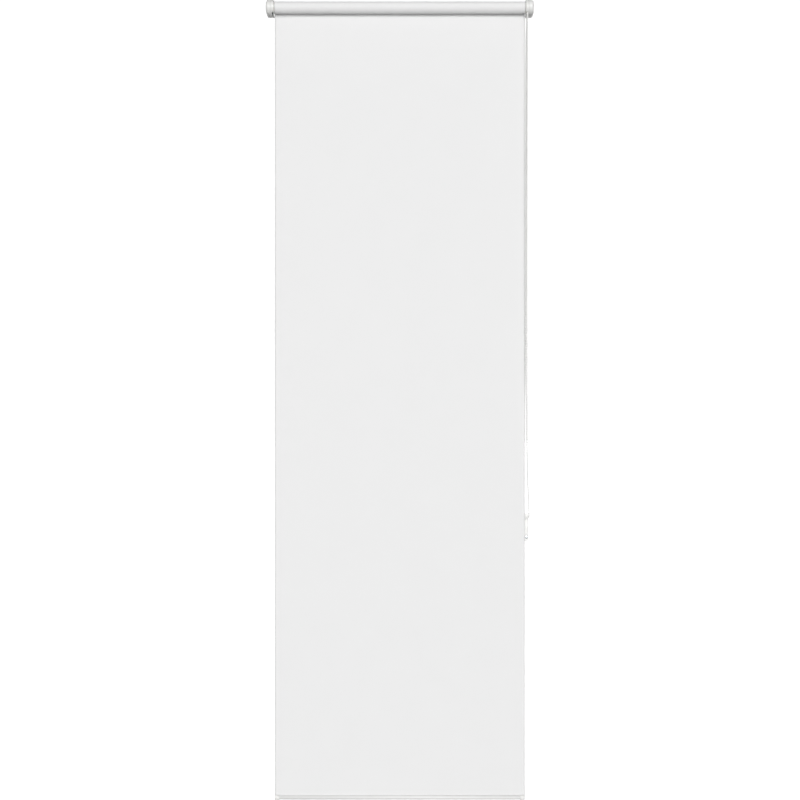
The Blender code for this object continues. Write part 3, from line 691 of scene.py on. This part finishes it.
@dataclass
class CoilSpring:
    """A close coil about the roller's axis, between the ends of its node."""

    node: str
    wire: float
    turns: int
    points_a_turn: int = 28
    flat_share: float = 0.06

    def build(self) -> bpy.types.Object:
        """The coil: a circle about the roller's axis that moves along it as it turns, with the
        start of the first turn and the end of the last lying flat.

        Returns:
            The piece, dressed and riding on the roller.
        """
        low, high = (np.array(p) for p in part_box(self.node))
        radius = (high[1] - low[1]) / 2 - self.wire
        centre = (low + high) / 2
        turn = np.linspace(0, 2 * np.pi * self.turns, self.turns * self.points_a_turn)
        share = (turn / turn[-1] - self.flat_share) / (1 - 2 * self.flat_share)
        share = np.clip(share, 0, 1)
        x = low[0] + self.wire + (high[0] - low[0] - 2 * self.wire) * share
        ring = np.stack([np.zeros_like(turn), np.cos(turn), np.sin(turn)], axis=1)
        path = centre * [0, 1, 0] + radius * ring
        path[:, 0] = x
        radii = np.full(len(path), self.wire)
        piece = tube(self.node + "_fine", path, radii, np.array([1.0, 0.0, 0.0]), 10)
        return finish_piece(piece, SPRING_WIRE, ROLLER, self.node)


# ---------------------------------------------------------------- the two ends
@dataclass
class EndSet:
    """What closes and carries one end: outer cover, inner housing, bracket and its screws."""

    end: str
    housing: str
    cover_edge_mm: float = 0.35
    bracket_edge_mm: float = 0.25

    def build(self) -> None:
        """Builds and dresses this end's pieces."""
        refined(f"{self.end}_end_cover", WHITE_ABS, ROOT, self.cover_edge_mm)
        refined(self.housing, WHITE_ABS, ROOT, self.cover_edge_mm * 0.7)
        refined(f"{self.end}_bracket", COATED_STEEL, ROOT, self.bracket_edge_mm)
        for level in ("upper", "lower"):
            node = f"{self.end}_bracket_screw_{level}"
            PanScrew(node, (0, 1, 0), 1.75 * MM, 1.3 * MM, 3.5 * MM).build()


@dataclass
class Clutch:
    """The still core with its fixings, and the wheel, plug and springs that turn about it."""

    edge_mm: float = 0.15

    def build(self) -> None:
        """Builds and dresses the clutch's pieces."""
        refined("clutch_core", NATURAL_NYLON, ROOT, self.edge_mm)
        refined("core_washer", BRIGHT_ZINC, ROOT, self.edge_mm, 2)
        refined("retaining_clip", SPRING_WIRE, ROOT, self.edge_mm, 2)
        PanScrew("core_screw", (-1, 0, 0), 1.3 * MM, 0.9 * MM, 1.5 * MM).build()
        refined("drive_plug", NATURAL_NYLON, ROLLER, self.edge_mm, 2)
        refined("chain_wheel", NATURAL_NYLON, ROLLER, self.edge_mm, 2)
        for node in ("inner_brake_spring", "outer_brake_spring"):
            CoilSpring(node, 0.4 * MM, 5).build()


@dataclass
class IdleEnd:
    """The sprung pin, its plug and the hub that it turns in."""

    edge_mm: float = 0.15

    def build(self) -> None:
        """Builds and dresses the idle end's pieces."""
        refined("idle_hub", NATURAL_NYLON, ROOT, self.edge_mm)
        refined("idle_plug", NATURAL_NYLON, ROLLER, self.edge_mm, 2)
        refined("idle_pin", BRIGHT_ZINC, PIN_BODY, self.edge_mm)
        spring = CoilSpring("idle_pin_spring", 0.35 * MM, 5).build()
        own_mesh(spring)


# ---------------------------------------------------------------- roller and cloth
@dataclass
class RollerAndCloth:
    """The tube, the cloth left on it, the turn that the cloth leaves from, and the drop."""

    cloth: float = 0.2 * MM
    drawn_share: float = 0.9
    ridge: float = 0.02 * MM
    wave: float = 0.16 * MM
    curl: float = 0.22 * MM
    curled_strip: float = 9 * MM
    inner: float = 12.62 * MM
    leaving: float = 13.4 * MM
    meeting: float = 13.12 * MM
    turns: float = 1.9
    columns: int = 142
    rows: int = 445

    def wound(
        self, name: str, start: float, end: float, inner: float, outer: float
    ) -> bpy.types.Object:
        """A stretch of cloth wound about the axis: its radius grows evenly with the angle, and
        long, faint ridges run along it where the layers below don't lie quite even.

        Args:
            name: The piece's name.
            start: Angle where the radius is the inner one, from the wall side, in radians.
            end: Angle where it is the outer one.
            inner: Radius of the cloth's middle at the start.
            outer: The same at the end.

        Returns:
            The wound sheet, given its thickness by a modifier.
        """
        low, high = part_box("fabric_roll")
        x = np.linspace(low[0], high[0], self.columns)
        angle = np.linspace(start, end, max(24, int(abs(end - start) / math.radians(5))))
        ridge = self.ridge * np.sin(31 * x + 0.7)[None] * np.sin(3 * angle)[:, None]
        radius = np.linspace(inner, outer, len(angle))[:, None] + ridge
        points = np.empty((len(angle), len(x), 3))
        points[..., 0] = x
        points[..., 1] = AXIS_Y + radius * np.cos(angle)[:, None]
        points[..., 2] = radius * np.sin(angle)[:, None]
        along = np.cumsum(np.abs(np.gradient(angle))) * (inner + outer) / 2
        uv = np.stack(np.broadcast_arrays(x[None], along[:, None]), axis=-1)
        piece = new_piece(name, points, quads_of(len(angle), len(x), wrap=False), uv)
        self.thicken(piece)
        return piece

    def thicken(self, piece: bpy.types.Object) -> None:
        """Gives a sheet most of the cloth's thickness, half to each side, so that layers part."""
        wall = piece.modifiers.new("Cloth thickness", "SOLIDIFY")
        wall.thickness = self.cloth * self.drawn_share
        wall.offset = 0

    def drop(self) -> bpy.types.Object:
        """The hanging cloth: a plane with a fraction of a millimetre of slow waves in it, still at
        its top and in the bar, and a slight curl at the two cut edges.

        Returns:
            The sheet.
        """
        low, high = (np.array(p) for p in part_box("fabric_panel"))
        x = np.linspace(low[0], high[0], self.columns)[None]
        z = np.linspace(high[2], low[2], self.rows)[:, None]
        share = (high[2] - z) / (high[2] - low[2])
        still = np.sin(np.pi * share) ** 0.5
        wave = self.wave * np.sin(11 * x + 2.1 * z) * np.sin(2.3 * z + 0.4)
        edge = (np.abs(x) - (high[0] - self.curled_strip)) / self.curled_strip
        curl = self.curl * np.clip(edge, 0, 1) ** 2
        points = np.empty((self.rows, self.columns, 3))
        points[..., 0] = x
        points[..., 1] = (low[1] + high[1]) / 2 + (wave - curl) * still
        points[..., 2] = z
        uv = np.stack(np.broadcast_arrays(x, high[2] - z), axis=-1)
        sheet = new_piece(
            "hanging_cloth", points, quads_of(self.rows, self.columns, wrap=False), uv
        )
        self.thicken(sheet)
        return sheet

    def build(self) -> None:
        refined("roller_tube", MILL_ALUMINIUM, ROLLER, 0.1, 2)
        last = self.inner + self.turns * self.cloth
        roll = self.wound("wound_cloth", 0.0, 2 * np.pi * self.turns, self.inner, last)
        finish_piece(roll, BLIND_CLOTH, ROLLER, "fabric_roll")
        outer = self.wound(
            "outer_turn_of_cloth", math.radians(342), 0.0, self.meeting, self.leaving
        )
        finish_piece(outer, BLIND_CLOTH, ROOT)
        sheet = self.drop()
        finish_piece(sheet, BLIND_CLOTH, ROOT, "fabric_panel")
        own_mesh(sheet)


@dataclass
class BottomBar:
    """The weighted bar, the rod that holds the cloth in it, and its two caps."""

    def build(self) -> None:
        """Builds and dresses the bar's pieces."""
        refined("bottom_bar", COATED_EXTRUSION, BAR_BODY, 0.1, 2)
        refined("hem_rod", ACETAL, BAR_BODY, 0.2)
        for end in ("left", "right"):
            refined(f"{end}_bar_cap", WHITE_ABS, BAR_BODY, 0.35)


# ---------------------------------------------------------------- chain and hold-down
@dataclass
class BeadChain:
    """Balls on a cord, run over the wheel and down round the hold-down."""

    ball: float = 2.25 * MM
    cord: float = 0.7 * MM
    pitch: float = 6.0 * MM
    pockets: int = 9
    join_z: float = -7.5 * MM
    # Millimetres from a ball's centre, from the middle of the cord before it to where it ends.
    stations: tuple[float, ...] = (
        *(-3.0, -2.24, -2.15, -1.8, -1.15, -0.4),
        *(0.4, 1.15, 1.8, 2.15, 2.24),
    )

    def beaded(self, name: str, path: np.ndarray, reference: np.ndarray) -> bpy.types.Object:
        """One run of chain: a tube whose radius is the cord's, or a ball's where one lies.

        A ball's radius at a distance d from its centre is the root of its own radius squared less
        d squared. The run starts and ends halfway between two balls.

        Args:
            name: The piece's name.
            path: The centreline.
            reference: A direction that the path never runs along.

        Returns:
            The run of chain.
        """
        along = lengths(path)
        balls = round(along[-1] / self.pitch)
        step = along[-1] / balls
        offsets = np.array(self.stations) * MM * step / self.pitch
        centres = (np.arange(balls) + 0.5) * step
        wanted = (centres[:, None] + offsets[None]).ravel()
        away = np.tile(offsets, balls)
        radii = np.sqrt(np.maximum(self.ball**2 - away**2, self.cord**2))
        wanted, radii = np.append(wanted, along[-1]), np.append(radii, self.cord)
        return tube(name, at_length(path, wanted), radii, reference, 10)

    def loop_path(self) -> np.ndarray:
        """The free loop's centreline, from its join on the room side to that on the wall side."""
        route = CHAIN_ROUTE.copy()
        route[[0, -1], 2] = self.join_z
        return smooth_curve(route, 1.0 * MM)

    def wheel_path(self) -> np.ndarray:
        """The centreline over the wheel: straight up, half a turn and straight down."""
        wheel_radius = self.pockets * self.pitch / (2 * math.pi)
        angle = np.linspace(0, np.pi, 90)
        x = CHAIN_ROUTE[0, 0]
        over = np.stack(
            [
                np.full_like(angle, x),
                AXIS_Y + wheel_radius * np.cos(angle),
                wheel_radius * np.sin(angle),
            ],
            axis=1,
        )
        foot = np.array([[x, AXIS_Y + side * wheel_radius, self.join_z] for side in (1, -1)])
        return np.vstack([foot[:1], over, foot[1:]])

    def build(self) -> None:
        over = self.beaded("bead_chain_on_wheel", self.wheel_path(), np.array([1.0, 0.0, 0.0]))
        finish_piece(over, ACETAL, ROOT, "chain_over_wheel")
        path = self.loop_path()
        loop = self.beaded("bead_chain", path, np.array([0.0, 1.0, 0.0]))
        finish_piece(loop, ACETAL, ROOT, "bead_chain_loop")
        LOG.info("chain: %.3f m free", lengths(path)[-1])


@dataclass
class HoldDown:
    """The clip on the wall that the chain passes round, and its screw."""

    def build(self) -> None:
        """Builds and dresses the hold-down's pieces."""
        refined("chain_hold_down", WHITE_ABS, ROOT, 0.3)
        PanScrew("hold_down_screw", (0, 1, 0), 1.75 * MM, 1.3 * MM, 3.5 * MM).build()


# ---------------------------------------------------------------- studio
@dataclass
class Studio:
    """A pale floor, a faint sky, soft lights in front and behind, and the camera."""

    floor_z: float = -2.05
    floor_half: float = 40.0
    camera_place: tuple[float, float, float] = (0.0004, -3.428, -0.8814)
    lens: float = 68.13
    sky: float = 0.03
    ground: float = 0.02
    sky_from: float = -0.6
    sky_to: float = 0.8
    background: float = 1.1
    bounce: float = 0.08
    # Turn in degrees, width in degrees, strength.
    lights: dict = field(
        default_factory=lambda: {
            "front_light": ((79, 0, 4), 26.0, 2.30),
            "broad_front_light": ((72, 0, 4), 120.0, 0.78),
            "light_from_behind": ((-72, 0, 0), 60.0, 2.30),
        }
    )

    def floor(self) -> None:
        """A plain pale floor, bright enough to run into the background."""
        finish = bpy.data.materials.new("pale_studio_floor")
        finish.use_nodes = True
        shader = finish.node_tree.nodes["Principled BSDF"]
        for socket, value in {
            "Base Color": srgb("BCBCBC"),
            "Roughness": 0.9,
            "Emission Color": (1.0, 1.0, 1.0, 1.0),
        }.items():
            shader.inputs[socket].default_value = value
        eye = add_node(finish.node_tree, "LightPath").outputs["Is Camera Ray"]
        glow = add_node(finish.node_tree, "MapRange", {"To Min": self.bounce}, {"Value": eye})
        finish.node_tree.links.new(glow.outputs[0], shader.inputs["Emission Strength"])
        half = self.floor_half
        points = np.array([[-half, -half], [half, -half], [half, half], [-half, half]])
        points = np.column_stack([points, np.full(4, self.floor_z)])
        floor = new_piece("studio_floor", points, np.array([[0, 1, 2, 3]]))
        floor.data.materials.append(finish)

    def world(self) -> None:
        """White to the eye; as light, brighter from above than from below."""
        world = bpy.data.worlds.new("studio")
        bpy.context.scene.world = world
        world.use_nodes = True
        tree = world.node_tree
        tree.nodes.clear()
        where = add_node(tree, "TexCoord").outputs["Generated"]
        height = add_node(tree, "SeparateXYZ", links={0: where}).outputs["Z"]
        reach = {"From Min": self.sky_from, "From Max": self.sky_to}
        strength = {"To Min": self.ground, "To Max": self.sky}
        amount = add_node(tree, "MapRange", reach | strength, {"Value": height}).outputs[0]
        light = add_node(tree, "Background", links={"Strength": amount}).outputs[0]
        seen = add_node(tree, "Background", {"Strength": self.background}).outputs[0]
        for node in tree.nodes:
            if node.bl_idname == "ShaderNodeBackground":
                node.inputs["Color"].default_value = (1.0, 1.0, 1.0, 1.0)
        eye = add_node(tree, "LightPath").outputs["Is Camera Ray"]
        both = add_node(tree, "MixShader", links={0: eye, 1: light, 2: seen}).outputs[0]
        add_node(tree, "OutputWorld", links={0: both})

    def lamps(self) -> None:
        """The soft lights, as suns with a wide disc."""
        for name, (turn, width, strength) in self.lights.items():
            lamp = bpy.data.lights.new(name, "SUN")
            lamp.angle = math.radians(width)
            lamp.energy = strength
            obj = bpy.data.objects.new(name, lamp)
            obj.rotation_euler = [math.radians(a) for a in turn]
            bpy.context.scene.collection.objects.link(obj)

    def camera(self) -> None:
        """A level camera in front of the blind, at half its height."""
        camera = bpy.data.cameras.new("camera")
        camera.lens = self.lens
        obj = bpy.data.objects.new("camera", camera)
        obj.location = self.camera_place
        obj.rotation_euler = (math.radians(90), 0, 0)
        bpy.context.scene.collection.objects.link(obj)
        bpy.context.scene.camera = obj

    def build(self) -> None:
        """Builds the studio round the blind."""
        bpy.context.scene.view_settings.view_transform = "Standard"
        self.floor()
        self.world()
        self.lamps()
        self.camera()


def main() -> None:
    """Builds the studio and each sub-assembly in turn."""
    logging.basicConfig(level=logging.INFO, format="%(name)s: %(message)s")
    assemblies = {
        "studio": Studio(),
        "chain": BeadChain(),
        "left end": EndSet("left", "left_housing"),
        "right end": EndSet("right", "chain_housing"),
        "clutch": Clutch(),
        "idle end": IdleEnd(),
        "roller and cloth": RollerAndCloth(),
        "bottom bar": BottomBar(),
        "hold-down": HoldDown(),
    }
    for name, assembly in assemblies.items():
        assembly.build()
        LOG.info("%s built", name)


if __name__ == "__main__":
    main()
